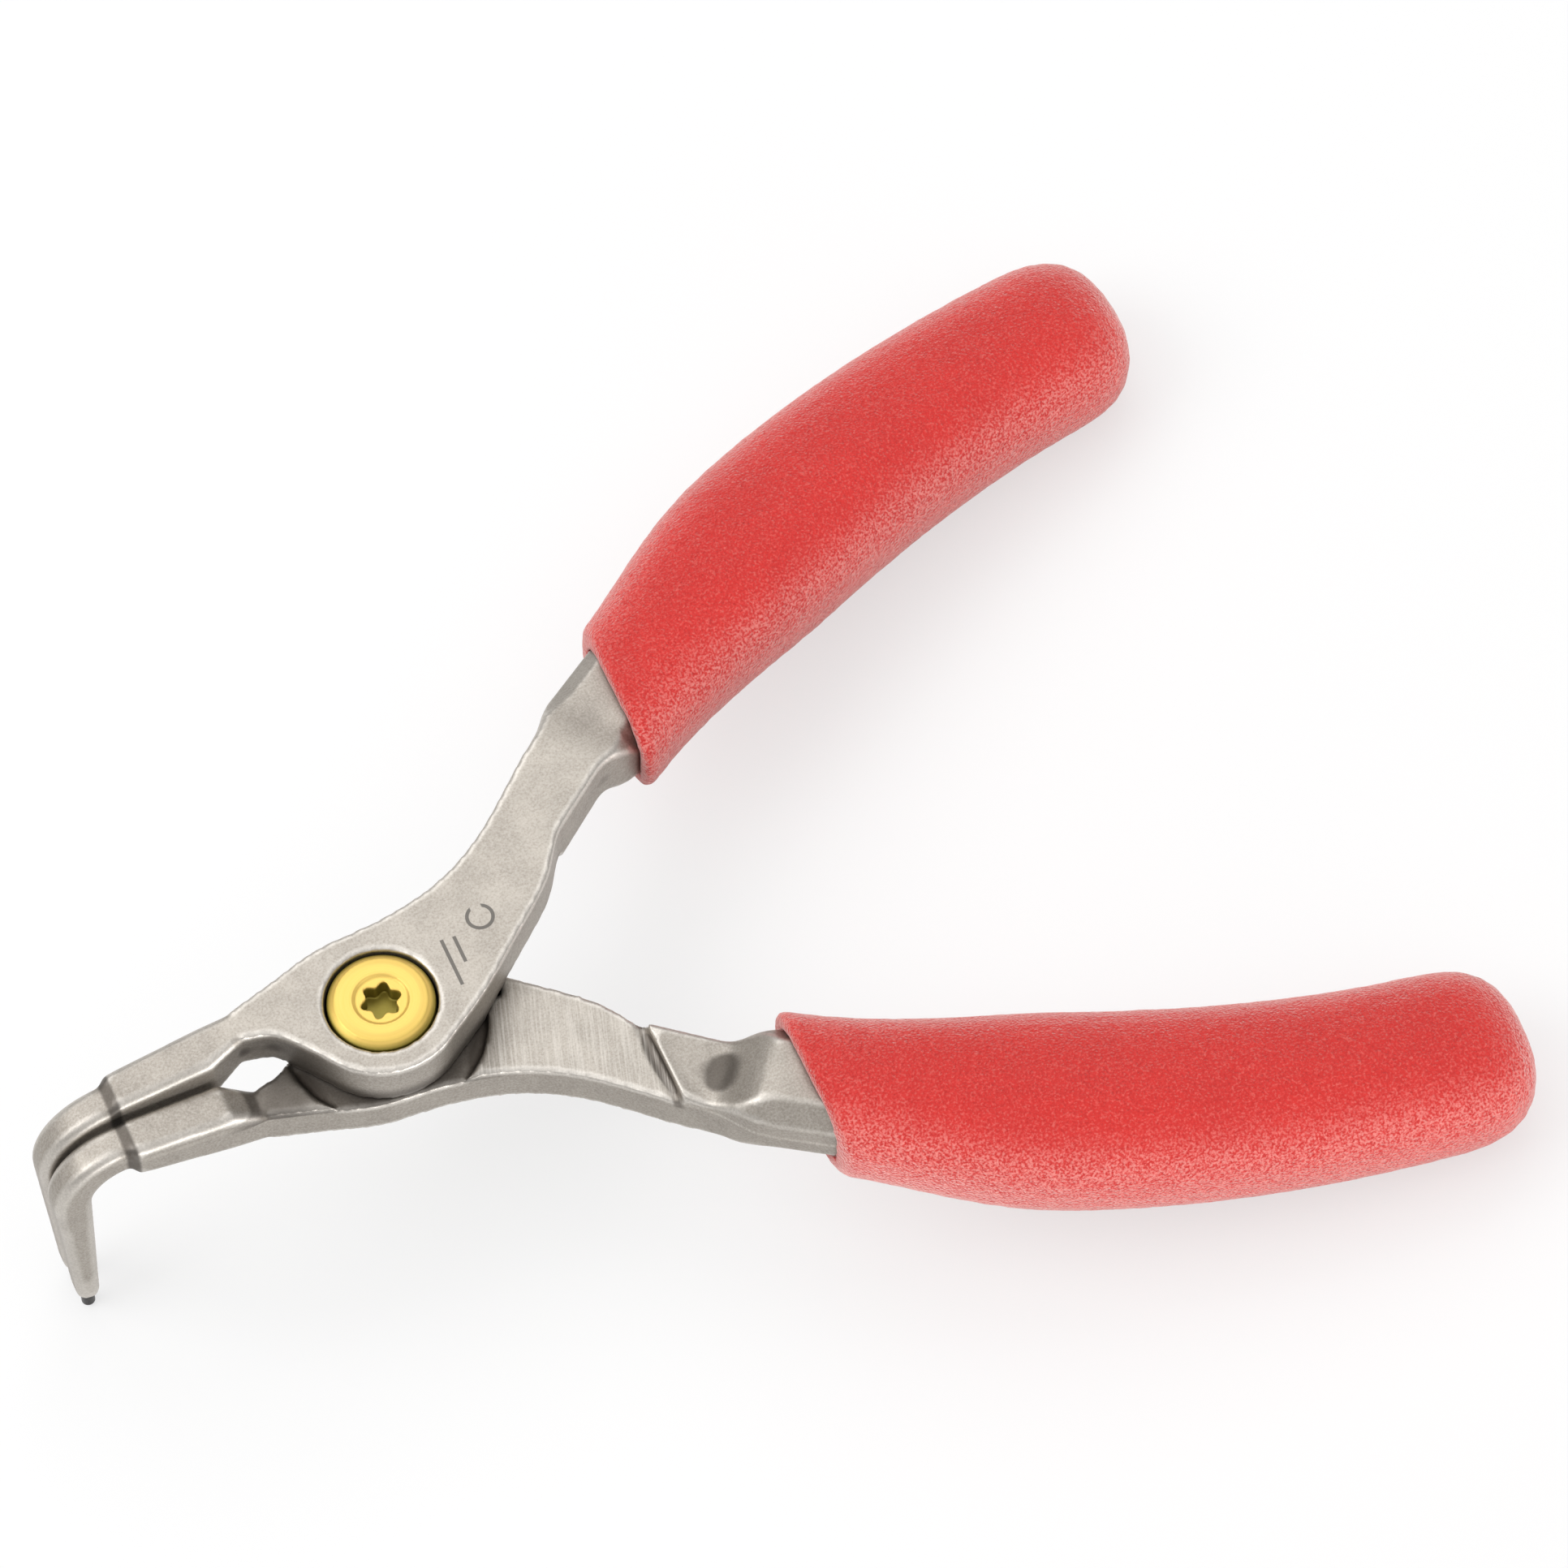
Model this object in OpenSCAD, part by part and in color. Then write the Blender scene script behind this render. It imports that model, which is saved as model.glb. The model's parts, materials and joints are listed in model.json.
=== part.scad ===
// Circlip pliers for outside rings: two lapped levers on a shouldered pivot screw,
// noses bent square to the joint, pressed-in wire tips, a return spring and soft grips.
// Each piece is modelled about the pivot: X runs from the tips to the handles, Z is the pivot axis
// and the levers meet at Z = 0. seated() then sets the tool down on its tips and its grips.

/* [Joint] */
// Thickness of each lever at the lap
plate_h = 4.6; // [4.4:0.1:5]
// Radius of the round boss about the pivot
boss_r = 7.6; // [7.4:0.1:8]
// Radius of the round recess that guides the boss
recess_r = 9.6; // [9.4:0.1:9.8]
// Depth of that recess
recess_h = 0.6; // [0.4:0.1:0.8]
// Running clearance between the levers
run_gap = 0.05; // [0.04:0.01:0.08]

/* [Pivot screw] */
// Diameter of the screw head
head_d = 10; // [9.6:0.1:10.4]
// Height of the screw head
head_h = 2.4; // [2.2:0.1:2.6]
// Diameter of the bearing shoulder
shoulder_d = 7; // [6.8:0.1:7.2]
// Diameter of the thread
thread_d = 5; // [4.6:0.1:5.2]
// Pitch of the thread
thread_pitch = 0.8; // [0.7:0.1:1]
// Diameter across the points of the six-lobe socket
socket_d = 3.9; // [3.5:0.1:4.2]

/* [Noses] */
// Distance from the pivot to the middle of the bent-down nose
nose_reach = 32; // [30:0.5:35]
// Drop of the nose below the lap
nose_drop = 24; // [22:0.5:26]
// Radius of the bend at the middle of the nose
bend_r = 6; // [5.5:0.1:6.5]
// Width of one nose where it leaves the joint
nose_w = 4.6; // [4.4:0.1:4.8]
// Gap between the closed noses
nose_gap = 0.3; // [0.2:0.05:0.4]
// Diameter of the free end of a wire tip
tip_d = 1.3; // [1.1:0.05:1.4]
// Diameter of a wire tip at the end of the nose that holds it
tip_held_d = 1.5; // [1.45:0.05:1.6]
// Length of a tip that stands out of its nose
tip_out = 3; // [2.6:0.1:3.4]
// Length of a tip that is held in its nose
tip_in = 7; // [5:0.5:8]

/* [Handles] */
// Direction of the handle as it leaves the joint, from the centre line
handle_lean = 43; // [42:0.5:44]
// Direction of the handle at its end
handle_tail = 5; // [4:0.5:6]
// Radius of the handle's long curve
handle_r = 133; // [130:1:138]
// Width of the steel behind the joint
shank_w = 6.8; // [6.4:0.1:7.2]
// Width of the eight-sided steel in the grip
tang_w = 10; // [9.6:0.1:10.4]
// Height of the eight-sided steel in the grip
tang_h = 8; // [7.6:0.1:8.4]

/* [Grips] */
// Width of a grip
grip_w = 18.2; // [17.6:0.2:19]
// Thickness of a grip
grip_t = 14.6; // [14:0.2:15.2]
// Wall of a grip at its mouth
mouth_wall = 2; // [1.8:0.1:2.2]
// Distance along the handle to the mouth of the grip
grip_start = 21.6; // [21:0.2:23]
// Play between a grip and the steel in it
grip_play = 0.1; // [0.05:0.05:0.2]

/* [Spring] */
// Diameter of the spring wire
wire_d = 0.8; // [0.7:0.05:0.85]
// Mean radius of the coil
coil_r = 5.3; // [5.2:0.05:5.4]
// Number of turns
coil_turns = 2; // [1:1:2]

/* [Hidden] */
$fn = 64;

steel = [0.74, 0.71, 0.67];
spring_steel = [0.30, 0.30, 0.31];
wire_steel = [0.20, 0.20, 0.21];
zinc_yellow = [0.92, 0.84, 0.33];
red_vinyl = [0.86, 0.22, 0.20];

// Curves
function mix(a, b, t) = a + (b - a) * t;
function spline_point(a, b, c, d, t) =
    (2 * b + (c - a) * t + (2 * a - 5 * b + 4 * c - d) * t * t
        + (3 * b - a - 3 * c + d) * t * t * t) / 2;
// A smooth curve through points, without its last one
function spline(points, steps = 6) =
    let (last = len(points) - 1)
    [for (i = [0:last - 1], k = [0:steps - 1])
        spline_point(points[max(i - 1, 0)], points[i], points[i + 1], points[min(i + 2, last)],
            k / steps)];
function arc(r, from, to, steps = 16) =
    [for (k = [0:steps]) let (a = mix(from, to, k / steps)) r * [cos(a), sin(a)]];

// A solid skin over rings with the same number of points, closed at both ends round a middle point
function middle(ring) = [for (i = [0:2]) [for (p = ring) p[i]] * [for (p = ring) 1] / len(ring)];
module skin(rings) {
    n = len(rings[0]);
    last = (len(rings) - 1) * n;
    hub = len(rings) * n;
    points = [for (ring = rings) each ring];
    sides = [for (i = [0:n:last - n], j = [0:n - 1])
        let (a = i + j, b = i + (j + 1) % n)
        each [[a, b + n, b], [a, a + n, b + n]]];
    ends = [for (j = [0:n - 1])
        let (k = (j + 1) % n)
        each [[hub, j, k], [hub + 1, last + k, last + j]]];
    polyhedron(concat(points, [middle(rings[0]), middle(rings[len(rings) - 1])]), concat(sides, ends));
}

// The handle's centre line is one arc, with distance s along it, l to its outer side and z up
root_share = [2.03, 1.16];
handle_root = boss_r * root_share;
handle_len = handle_r * (handle_lean - handle_tail) * PI / 180;
function heading(s) = handle_lean - s / handle_r * 180 / PI;
function on_handle(s, l, z) =
    let (a = heading(s))
    let (turned = handle_r * [sin(handle_lean) - sin(a), cos(a) - cos(handle_lean)])
    [handle_root.x + turned.x - l * sin(a), handle_root.y + turned.y + l * cos(a), z];
// How far a ring leans along the handle so that its plane stands square to X
function square_lean(s) = tan(heading(s));

// Steel of the handle: a step where the lap ends, a waist, then eight sides into the grip
step_at = 8.4;
step_h = 1.2;
waist_at = 13.2;
waist_h = 0.9;
waist_grow = 0.3;
tang_from = grip_start - 2.6;
tang_lean = 0.2;
tang_end = handle_len - 9;
tang_chamfer = 2;
tang_taper = 2.4;
shank_chamfer = 0.3;
swell_rings = 6;
swell_stations = [for (k = [1:swell_rings - 1]) mix(waist_at, tang_from, k / swell_rings)];
corner_at = mix(waist_at, tang_from, 1 / 2);
waist_w = shank_w + waist_grow;
tang_end_w = tang_w - tang_taper;
tang_end_h = tang_h - tang_taper;
// How far s has come between two places, from 0 to 1 with smooth ends
function part_way(s, from, to) =
    let (t = min(max((s - from) / (to - from), 0), 1)) t * t * (3 - 2 * t);
// Heights or widths that swell smoothly from the waist to the eight sides
function swelling(from, to) =
    [for (s = swell_stations) [s, mix(from, to, part_way(s, waist_at, tang_from))]];
shank_width = concat([[step_at, shank_w], [waist_at, waist_w]], swelling(waist_w, tang_w),
    [[tang_from, tang_w], [grip_start, tang_w], [tang_end, tang_end_w]]);
shank_top = concat([[waist_at, plate_h]], swelling(plate_h, tang_h / 2),
    [[tang_from, tang_h / 2], [grip_start, tang_h / 2], [tang_end, tang_end_h / 2]]);
shank_bottom = concat([[step_at, step_h], [waist_at, waist_h]], swelling(waist_h, tang_h / 2),
    [[tang_from, tang_h / 2], [grip_start, tang_h / 2], [tang_end, tang_end_h / 2]]);
shank_corner = [[waist_at, shank_chamfer], [corner_at, 2 * shank_chamfer], [tang_from, tang_chamfer],
    [grip_start, tang_chamfer], [tang_end, tang_chamfer - tang_taper / 4]];
// An eight-sided ring of the handle's steel, grown by play on every side
function shank_ring(s, lean = 0, play = 0) =
    let (w = lookup(s, shank_width) / 2 + play)
    let (top = lookup(s, shank_top) + play)
    let (low = -lookup(s, shank_bottom) - play)
    let (c = lookup(s, shank_corner))
    let (corners = [[w - c, low], [w, low + c], [w, top - c], [w - c, top],
        [c - w, top], [-w, top - c], [-w, low + c], [c - w, low]])
    [for (p = corners) on_handle(s + p[0] * lean, p[0], p[1])];
tang_stations = [for (k = [1:4]) mix(grip_start, tang_end, k / 4)];
module handle_steel() {
    skin([shank_ring(step_at, square_lean(step_at)),
        shank_ring(waist_at),
        for (s = swell_stations) shank_ring(s),
        shank_ring(tang_from, tang_lean),
        shank_ring(grip_start, square_lean(grip_start)),
        for (s = tang_stations) shank_ring(s)]);
}

// Nose: straight out of the joint, over a shoulder, round the bend, then straight down
nose_root_share = 1.71;
nose_root = boss_r * nose_root_share;
nose_neck = 1.4;
nose_straight = nose_reach - bend_r - nose_root;
bend_end = nose_straight + bend_r * PI / 2;
nose_len = bend_end + nose_drop - bend_r;
jaw_start = 3.5;
jaw_slope = 0.5;
jaw_lap = 1.5;
wedge_low = 0.4;
shoulder_len = 0.8;
shoulder_at = nose_straight - shoulder_len / 2;
shoulder_end = shoulder_at + shoulder_len;
shoulder_t = 2.9;
shoulder_step = 0.6;
side_taper = 0.4;
bend_taper = 1;
nose_taper = 1.4;
nose_bend_t = 1.8;
nose_tip_t = 1.1;
nose_edge = 0.6;
blend = 0.05;
function on_nose(s, y, q) =
    let (b = min(max(s - nose_straight, 0) / bend_r * 180 / PI, 90))
    let (x = nose_root + min(s, nose_straight) + bend_r * sin(b))
    let (z = -bend_r * (1 - cos(b)) - max(s - bend_end, 0))
    [-x - q * sin(b), y, z + q * cos(b)];
nose_inner = [[0, nose_neck], [jaw_start, nose_gap / 2]];
nose_outer = [[0, nose_w], [jaw_start, nose_w], [shoulder_at, nose_w - side_taper],
    [shoulder_end, nose_w - side_taper - shoulder_step], [bend_end, nose_w - bend_taper],
    [nose_len, nose_w - nose_taper]];
nose_full = [[0, plate_h - blend], [jaw_start, plate_h - jaw_slope], [shoulder_at, shoulder_t],
    [shoulder_end, shoulder_t - shoulder_step], [bend_end, nose_bend_t], [nose_len, nose_tip_t]];
nose_lap = [[0, -wedge_low], [jaw_start, jaw_lap], [shoulder_at, jaw_lap],
    [shoulder_end, jaw_lap - shoulder_step / 2], [bend_end, nose_bend_t], [nose_len, nose_tip_t]];
bend_rings = 12;
nose_stations = [0, jaw_start, shoulder_at, shoulder_end,
    for (k = [1:bend_rings]) mix(shoulder_end, bend_end, k / bend_rings), nose_len];
// A ring of the nose: the upper lever has its full height above the lap, the lower one below
function nose_ring(s, upper) =
    let (a = lookup(s, nose_inner), b = lookup(s, nose_outer), e = min(nose_edge, (b - a) / 4))
    let (top = lookup(s, upper ? nose_full : nose_lap))
    let (low = -lookup(s, upper ? nose_lap : nose_full))
    [for (p = [[a + e / 2, low], [a, low + e / 2], [a, top - e], [a + e, top],
        [b - e, top], [b, top - e], [b, low + e], [b - e, low]]) on_nose(s, p[0], p[1])];
module nose(upper) {
    skin([for (s = nose_stations) nose_ring(s, upper)]);
}

// Place of the tip in the end of the nose, and the hole that holds it
tip_share = 0.5;
tip_y = mix(nose_gap / 2, nose_w - nose_taper, tip_share);
tip_fit = 0.01;
tip_draw = 0.2;
module tip_bore() {
    r = tip_held_d / 2 + tip_fit;
    translate([-nose_reach, tip_y, -nose_drop])
        rotate_extrude()
            polygon([[0, -tip_out], [r, -tip_out], [r, 0], [r - tip_draw / 2, tip_in], [0, tip_in]]);
}

// Outline of a lever's plate, seen from above for the upper lever: its end dives into the handle
plate_dive = 0.8;
plate_end = mix(step_at, waist_at, plate_dive);
function wall_corner(l) =
    let (p = on_handle(step_at + l * square_lean(step_at), l, 0)) [p.x, p.y];
function plate_corner(l) =
    let (p = on_handle(plate_end, l, 0)) [p.x, p.y];
nose_end_x = -nose_root - 2 * blend;
boss_from = -50;
boss_to = -146;
outer_edge = [[nose_end_x, nose_w - blend], boss_r * [-1.1, 0.78], boss_r * [-0.42, 0.98],
    boss_r * [0.4, 1.05], boss_r * [1.2, 1.24], boss_r * [1.95, 1.66],
    wall_corner(shank_w / 2 + blend), plate_corner(shank_w / 2 - 3 * blend)];
inner_edge = [plate_corner(3 * blend - shank_w / 2), wall_corner(-shank_w / 2 - blend),
    boss_r * [2.46, 0.73], boss_r * [1.78, 0.12], boss_r * [1.18, -0.4],
    boss_r * [cos(boss_from), sin(boss_from)]];
neck_edge = [boss_r * [cos(boss_to), sin(boss_to)], boss_r * [-1.08, -0.22], boss_r * [-1.36, 0.08],
    [nose_end_x, nose_neck - blend]];
module plate_outline() {
    polygon(concat([[nose_end_x, nose_neck - blend]], spline(outer_edge), spline(inner_edge),
        arc(boss_r, boss_from, boss_to), spline(neck_edge)));
}

// Spring room: a ring in both levers and a slot for each leg
coil_room = 0.35;
pocket_low = 1.5;
pocket_high = 1;
lower_leg_end = 11;
upper_leg_end = 8.6;
lower_leg_angle = -4;
upper_leg_angle = 38;
leg_play = 0.25;
leg_room = wire_d + 2 * leg_play;
module spring_ring(h) {
    difference() {
        cylinder(r = coil_r + wire_d / 2 + coil_room, h = h);
        translate([0, 0, -h])
            cylinder(r = coil_r - wire_d / 2 - coil_room, h = 3 * h);
    }
}
module leg_slot(angle, reach, h) {
    rotate([0, 0, angle])
        translate([coil_r, -leg_room / 2, 0])
            cube([reach - coil_r + leg_play, leg_room, h]);
}

// One lever before it is drilled: plate and handle, as the upper lever lies, with a relief groove
// across the lap at the foot of the step
groove = 0.5;
module lever_blank() {
    foot = on_handle(step_at, 0, 0);
    difference() {
        union() {
            translate([0, 0, run_gap / 2])
                linear_extrude(plate_h - run_gap / 2)
                    plate_outline();
            handle_steel();
        }
        translate([foot.x - groove, foot.y, run_gap / 2])
            rotate([0, 45, 0])
                cube([groove, 2 * shank_w, groove], center = true);
    }
}

// The round pad of the upper lever that sits in the recess of the lower one
pad_play = 0.15;
module guide_pad() {
    pad_low = -recess_h + run_gap;
    translate([0, 0, pad_low])
        linear_extrude(plate_h / 2 - pad_low)
            intersection() {
                plate_outline();
                circle(r = recess_r - pad_play);
            }
}

head_play = 0.25;
module upper_solid() {
    difference() {
        union() {
            lever_blank();
            guide_pad();
            nose(true);
        }
        translate([0, 0, -plate_h])
            cylinder(d = shoulder_d + 2 * run_gap, h = 3 * plate_h);
        translate([0, 0, plate_h - head_h])
            cylinder(d = head_d + 2 * head_play, h = plate_h);
        translate([0, 0, -plate_h])
            spring_ring(plate_h + pocket_high);
        translate([0, 0, -plate_h])
            leg_slot(upper_leg_angle, upper_leg_end, plate_h + pocket_high);
        tip_bore();
    }
}

module lower_solid() {
    difference() {
        union() {
            rotate([180, 0, 0])
                lever_blank();
            mirror([0, 1, 0])
                nose(false);
        }
        translate([0, 0, -recess_h])
            cylinder(r = recess_r, h = plate_h);
        translate([0, 0, -2 * plate_h])
            cylinder(d = thread_d, h = 4 * plate_h);
        translate([0, 0, -recess_h - pocket_low])
            spring_ring(plate_h);
        translate([0, 0, -recess_h - pocket_low])
            leg_slot(lower_leg_angle, lower_leg_end, plate_h);
        mirror([0, 1, 0])
            tip_bore();
    }
}

// Pivot screw: a dished head with a rounded rim, a bearing shoulder and a thread
head_stand = 0.2;
rim = 0.7;
rim_drop = 0.12;
dish_r = 2.4;
dish_h = 0.25;
socket_h = 1.8;
thread_fit = 0.03;
thread_short = 0.3;
flank = 0.4;
module screw_solid() {
    top = plate_h + head_stand;
    under = plate_h - head_h + run_gap;
    r = head_d / 2;
    thread_r = thread_d / 2 - thread_fit;
    root_r = thread_r - thread_pitch / 2;
    low = thread_short - plate_h;
    turns = floor((-recess_h - low) / thread_pitch - 1 / 2);
    crests = [for (i = [0:turns - 1]) let (z = low + (i + 1 / 2) * thread_pitch)
        each [[root_r, z], [thread_r, z + flank * thread_pitch], [thread_r, z + (1 - flank) * thread_pitch]]];
    difference() {
        rotate_extrude()
            polygon(concat([[0, low], [root_r, low]], crests,
                [[root_r, low + (turns + 1 / 2) * thread_pitch], [root_r, -recess_h],
                [shoulder_d / 2, -recess_h], [shoulder_d / 2, under], [r, under], [r, top - rim],
                [r - rim, top - rim_drop], [r - 2 * rim, top], [dish_r + dish_h, top],
                [dish_r, top - dish_h], [0, top - dish_h]]));
        translate([0, 0, top - dish_h - socket_h])
            linear_extrude(head_h)
                six_lobes();
    }
}
lobes = 6;
lobe_points = 10;
lobe_share = 0.14;
module six_lobes() {
    depth = socket_d * lobe_share;
    steps = lobes * lobe_points;
    polygon([for (i = [0:steps - 1]) let (a = 360 * i / steps)
        (socket_d / 2 - depth * (1 - cos(lobes * a)) / 2) * [cos(a), sin(a)]]);
}

// Return spring: a leg in the lower lever, the coil and a leg in the upper lever
coil_seat = 0.05;
coil_low = -recess_h - pocket_low + wire_d / 2 + coil_seat;
coil_high = pocket_high - wire_d / 2 - coil_seat;
coil_sweep = 360 * coil_turns + upper_leg_angle - lower_leg_angle;
coil_steps = 56;
leg_bend = 3;
leg_out = [1.2, 0.35];
function coil_point(k) =
    let (t = k / coil_steps, a = lower_leg_angle + coil_sweep * t)
    [coil_r * cos(a), coil_r * sin(a), mix(coil_low, coil_high, t)];
function leg_point(reach, angle, z) = [reach * cos(angle), reach * sin(angle), z];
spring_path = [leg_point(lower_leg_end, lower_leg_angle, coil_low),
    leg_point(coil_r + leg_out[0], lower_leg_angle, coil_low),
    leg_point(coil_r + leg_out[1], lower_leg_angle + leg_bend, coil_low),
    for (k = [2:coil_steps - 2]) coil_point(k),
    leg_point(coil_r + leg_out[1], upper_leg_angle - leg_bend, coil_high),
    leg_point(coil_r + leg_out[0], upper_leg_angle, coil_high),
    leg_point(upper_leg_end, upper_leg_angle, coil_high)];
wire_sides = 8;
function unit(v) = v / norm(v);
// A round ring across the path, level with the lap
function wire_ring(path, i) =
    let (along = unit(path[min(i + 1, len(path) - 1)] - path[max(i - 1, 0)]))
    let (side = unit(cross([0, 0, 1], along)), up = cross(along, side))
    [for (j = [0:wire_sides - 1]) let (a = 360 * j / wire_sides)
        path[i] + wire_d / 2 * (side * cos(a) + up * sin(a))];
module spring_solid() {
    skin([for (i = [0:len(spring_path) - 1]) wire_ring(spring_path, i)]);
}

// Wire tip: a pin with a broken edge at its free end and a tapered stretch that is driven into the nose
tip_edge = 0.2;
module tip_solid() {
    r = tip_d / 2;
    held_r = tip_held_d / 2;
    len = tip_out + tip_in;
    translate([-nose_reach, tip_y, -nose_drop - tip_out])
        rotate_extrude()
            polygon([[0, 0], [r - tip_edge, 0], [r, tip_edge], [r, tip_out], [held_r, tip_out],
                [held_r - tip_draw / 2, len], [0, len]]);
}

// Grip: one skin that runs from the inside of the sleeve, round its mouth, along the outside to the end
grip_sides = 32;
grip_squareness = 2.4;
end_squareness = 2.8;
lip_r = 1;
end_round = 9;
swell_at = grip_start + 24;
end_taper = 1.4;
// Width or thickness that swells from the steel at the mouth to its full size and tapers to the end
function grip_size(s, steel_size, full) =
    mix(steel_size + 2 * mouth_wall, full, part_way(s, grip_start, swell_at))
        - end_taper * part_way(s, swell_at, handle_len);
mouth_lean = square_lean(grip_start);
// The mouth stands square to X, and the rings behind it turn square to the handle
function lean_at(s) = mouth_lean * pow(max(swell_at - s, 0) / (swell_at - grip_start), 2);
function rounded(v) = sign(v) * pow(abs(v), 2 / grip_squareness);
// An outer ring of the grip, drawn in by share at the end and by inset at the lip
function grip_ring(s, share, inset = 0) =
    let (w = grip_size(s, tang_w, grip_w) / 2 * share - inset)
    let (t = grip_size(s, tang_h, grip_t) / 2 * share - inset)
    [for (j = [0:grip_sides - 1]) let (a = 360 * j / grip_sides)
        let (l = w * rounded(cos(a)))
        on_handle(s + l * lean_at(s), l, t * rounded(sin(a)))];
// The octagon of the steel with as many points as an outer ring, from the middle of its outer side
first_side = 3 / 2;
function steel_ring(s, lean) =
    let (ring = shank_ring(s, lean, grip_play), n = len(ring))
    [for (j = [0:grip_sides - 1])
        let (u = j / grip_sides * n + first_side, k = floor(u))
        mix(ring[k % n], ring[(k + 1) % n], u - k)];
function end_share(s) =
    let (d = min(max(handle_len - s, 0) / end_round, 1))
    pow(1 - pow(1 - d, end_squareness), 1 / end_squareness);
grip_inside = [for (i = [1:len(tang_stations)]) tang_stations[len(tang_stations) - i]];
outside_rings = 22;
grip_outside = [for (k = [0:outside_rings])
    mix(grip_start + lip_r, handle_len - end_round, k / outside_rings)];
end_turn = 12;
grip_end = [for (a = [end_turn:end_turn:90 - end_turn / 2]) handle_len - end_round * (1 - sin(a))];
lip_turn = 30;
module grip_solid() {
    skin(concat(
        [for (s = grip_inside) steel_ring(s, 0)],
        [steel_ring(grip_start, mouth_lean)],
        [for (a = [0:lip_turn:90 - lip_turn])
            grip_ring(grip_start + lip_r * (1 - cos(a)), 1, lip_r * (1 - sin(a)))],
        [for (s = grip_outside) grip_ring(s, 1)],
        [for (s = grip_end) grip_ring(s, end_share(s))]));
}

// Rest on a table: it touches the rims of the wire tips and the undersides of the grips
tip_low = [-nose_reach + tip_d / 2 - tip_edge, -nose_drop - tip_out];
function grip_low(s) = [on_handle(s, 0, 0).x, -grip_size(s, tang_h, grip_t) / 2 * end_share(s)];
rest_tilt = min([for (s = concat(grip_outside, grip_end))
    let (run = grip_low(s) - tip_low) atan2(run.y, run.x)]);
rest_lift = tip_low.x * sin(rest_tilt) - tip_low.y * cos(rest_tilt);
// The front is an edge of the noses or the rim of the tips
front_edges = [[nose_reach + nose_tip_t, nose_drop],
    [nose_reach + tip_d / 2, nose_drop + tip_out - tip_edge]];
tool_front = min([for (p = front_edges) -p.x * cos(rest_tilt) - p.y * sin(rest_tilt)]);
handle_back = max([for (s = grip_end, p = grip_ring(s, end_share(s)))
    p.x * cos(rest_tilt) + p.z * sin(rest_tilt)]);
module seated() {
    translate([-(tool_front + handle_back) / 2, 0, rest_lift])
        rotate([0, rest_tilt, 0])
            children();
}

module upper_lever() { color(steel) seated() upper_solid(); }
module lower_lever() { color(steel) seated() lower_solid(); }
module pivot_screw() { color(zinc_yellow) seated() screw_solid(); }
module return_spring() { color(spring_steel) seated() spring_solid(); }
module upper_tip() { color(wire_steel) seated() tip_solid(); }
module lower_tip() { color(wire_steel) seated() mirror([0, 1, 0]) tip_solid(); }
module upper_grip() { color(red_vinyl) seated() grip_solid(); }
module lower_grip() { color(red_vinyl) seated() rotate([180, 0, 0]) grip_solid(); }

upper_lever();
lower_lever();
pivot_screw();
return_spring();
upper_tip();
lower_tip();
upper_grip();
lower_grip();
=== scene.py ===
"""Circlip pliers, dressed: blasted forgings, dipped grips, a plated pivot screw and dark wire tips.

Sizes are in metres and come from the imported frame. The levers' own frame has its origin on the pivot,
X from the tips to the handles and Z along the pivot, and the finishes are laid out in it in millimetres.
"""

import json
import math

import bmesh
import bpy
from mathutils import Matrix, Vector

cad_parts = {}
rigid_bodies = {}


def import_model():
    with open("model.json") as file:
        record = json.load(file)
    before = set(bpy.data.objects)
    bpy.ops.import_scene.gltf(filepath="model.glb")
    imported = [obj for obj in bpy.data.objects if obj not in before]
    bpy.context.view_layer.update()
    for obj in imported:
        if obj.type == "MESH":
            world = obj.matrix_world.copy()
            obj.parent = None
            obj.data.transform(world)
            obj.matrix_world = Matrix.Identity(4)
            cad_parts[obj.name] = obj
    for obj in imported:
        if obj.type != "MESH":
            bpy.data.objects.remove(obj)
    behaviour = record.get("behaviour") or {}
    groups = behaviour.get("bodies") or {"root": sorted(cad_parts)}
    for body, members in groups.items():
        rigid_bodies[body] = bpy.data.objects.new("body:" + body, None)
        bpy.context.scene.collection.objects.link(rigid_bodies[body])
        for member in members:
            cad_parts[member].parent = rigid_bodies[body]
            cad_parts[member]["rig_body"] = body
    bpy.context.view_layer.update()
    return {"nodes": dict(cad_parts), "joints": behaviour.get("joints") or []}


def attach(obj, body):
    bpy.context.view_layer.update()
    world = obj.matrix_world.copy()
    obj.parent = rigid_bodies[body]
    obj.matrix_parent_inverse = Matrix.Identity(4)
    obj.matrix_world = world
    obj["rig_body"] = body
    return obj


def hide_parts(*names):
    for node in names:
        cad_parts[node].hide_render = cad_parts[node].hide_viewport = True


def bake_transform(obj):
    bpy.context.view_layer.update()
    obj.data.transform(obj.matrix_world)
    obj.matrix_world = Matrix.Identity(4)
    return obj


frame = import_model()

MM = 0.001
HINGE = frame["joints"][0]
PIVOT = Vector(HINGE["pos_m"])
TILT = math.atan2(-HINGE["axis"][0], -HINGE["axis"][2])
TOOL = Matrix.Translation(PIVOT) @ Matrix.Rotation(TILT, 4, "Y")

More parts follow.
